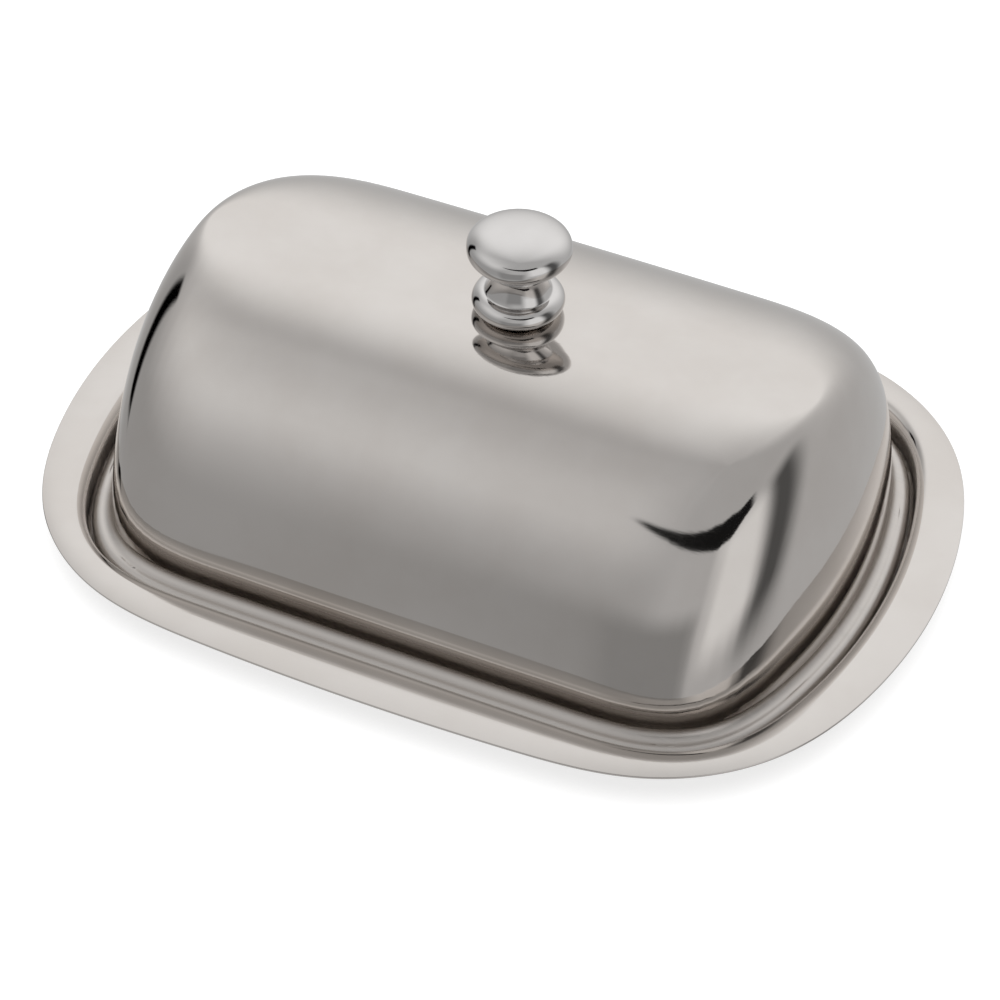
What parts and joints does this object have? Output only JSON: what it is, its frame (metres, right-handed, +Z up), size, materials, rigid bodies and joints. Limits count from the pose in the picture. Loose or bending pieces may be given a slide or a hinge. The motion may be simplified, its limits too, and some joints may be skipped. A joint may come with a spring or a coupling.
{
  "type": "butter dish",
  "caption": "Rectangular steel butter dish: shallow rimmed tray with a sunken floor, and a domed lid that lifts off by a turned knob.",
  "frame": {"origin": "on the table, in the middle of the tray's flat underside", "axes": "+X along the dish, toward the end that the knob stands 2.5 mm nearer to, +Y across it, +Z up"},
  "size_m": [0.19, 0.1426, 0.0738],
  "materials": {
    "tray_steel": "polished",
    "lid_steel": "polished",
    "knob_steel": "mirror polished",
    "washer_steel": "as stamped",
    "screw_steel": "satin"
  },
  "bodies": {
    "tray": {"tray": "tray_steel"},
    "lid": {"lid_shell": "lid_steel", "knob": "knob_steel", "knob_washer": "washer_steel", "knob_screw": "screw_steel"}
  },
  "joints": [
    {"name": "lid_lift", "type": "slide", "parent": "tray", "child": "lid", "axis": [0, 0, 1], "range_m": [0, 0.07]}
  ]
}
